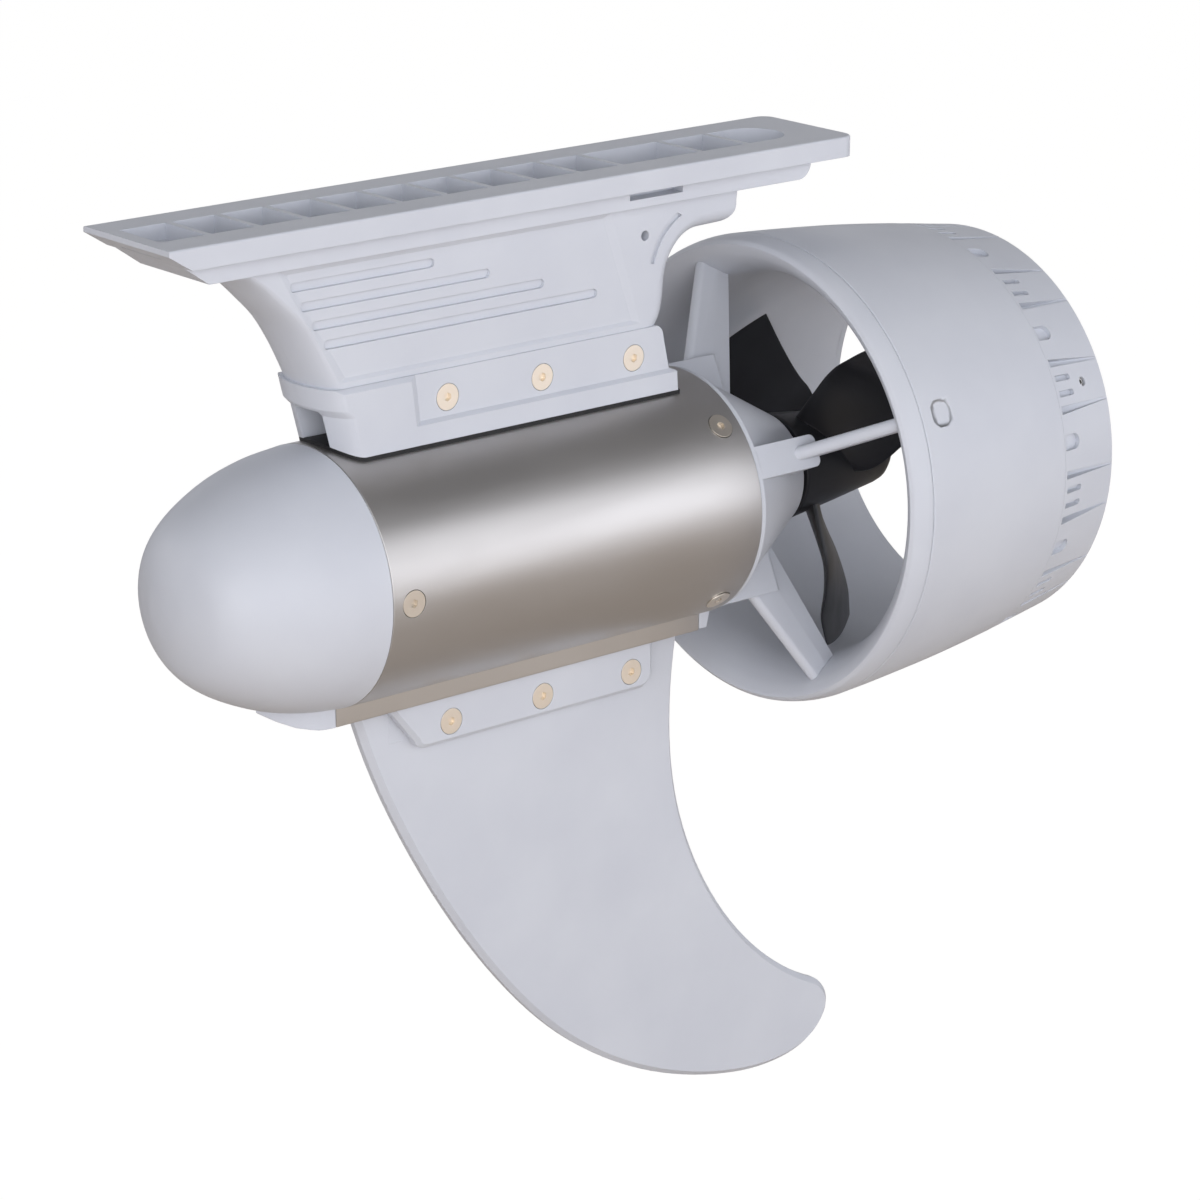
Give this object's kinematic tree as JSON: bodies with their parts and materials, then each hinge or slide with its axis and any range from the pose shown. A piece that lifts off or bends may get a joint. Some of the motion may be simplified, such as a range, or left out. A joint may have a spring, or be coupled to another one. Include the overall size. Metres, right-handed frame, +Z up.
{
  "type": "underwater thruster",
  "caption": "Ducted electric underwater thruster with a slide-in base plate, clamped pylon, round motor housing, strut-mounted duct, propeller and swept lower fin.",
  "frame": {"origin": "middle of the base plate's top face, where it lies against the board", "axes": "+X aft along the motor axis towards the propeller, +Y to the side away from the screw heads, +Z up into the board"},
  "size_m": [0.2778, 0.1268, 0.2662],
  "materials": {
    "hull_plastic": "fine satin moulded finish",
    "housing_alu": "satin anodised, warm grey",
    "rubber": "matte",
    "screw_steel": "warm passivated, satin",
    "housing_screw": "warm satin",
    "coated_screw": "satin, same colour as the duct",
    "nut_steel": "satin",
    "black_plastic": "matte",
    "board": "solder mask",
    "inner_alu": "machined",
    "core_steel": "varnished laminations",
    "copper": "enamelled",
    "magnet": "nickel plated",
    "prop_plastic": "satin black, glass filled"
  },
  "bodies": {
    "root": {"base_plate": "hull_plastic", "pylon_near": "hull_plastic", "pylon_far": "hull_plastic", "pylon_gasket": "rubber", "pylon_screws": "screw_steel", "pylon_nuts": "nut_steel", "pod_shell": "housing_alu", "nose_cone": "hull_plastic", "nose_seal": "rubber", "tail_cap": "hull_plastic", "tail_seal": "rubber", "pod_screws": "housing_screw", "struts": "hull_plastic", "duct_liner": "hull_plastic", "duct_shell": "hull_plastic", "outlet_ring": "hull_plastic", "duct_screws": "coated_screw", "ring_pins": "nut_steel", "fin": "hull_plastic", "fin_screws": "screw_steel", "fin_nuts": "nut_steel", "cable_gland": "black_plastic", "controller": "board", "bulkhead": "inner_alu", "front_bearing": "nut_steel", "stator": "core_steel", "windings": "copper", "motor_flange": "inner_alu", "rear_bearing": "nut_steel", "shaft_seal": "rubber"},
    "rotor": {"shaft": "nut_steel", "rotor_core": "core_steel", "magnets": "magnet", "propeller": "prop_plastic", "drive_pin": "nut_steel", "prop_washer": "nut_steel", "prop_nut": "screw_steel"}
  },
  "joints": [
    {"name": "propeller_spin", "type": "hinge", "parent": "root", "child": "rotor", "pos_m": [0.1127, 0, -0.0914], "axis": [1, 0, 0], "continuous": true}
  ]
}
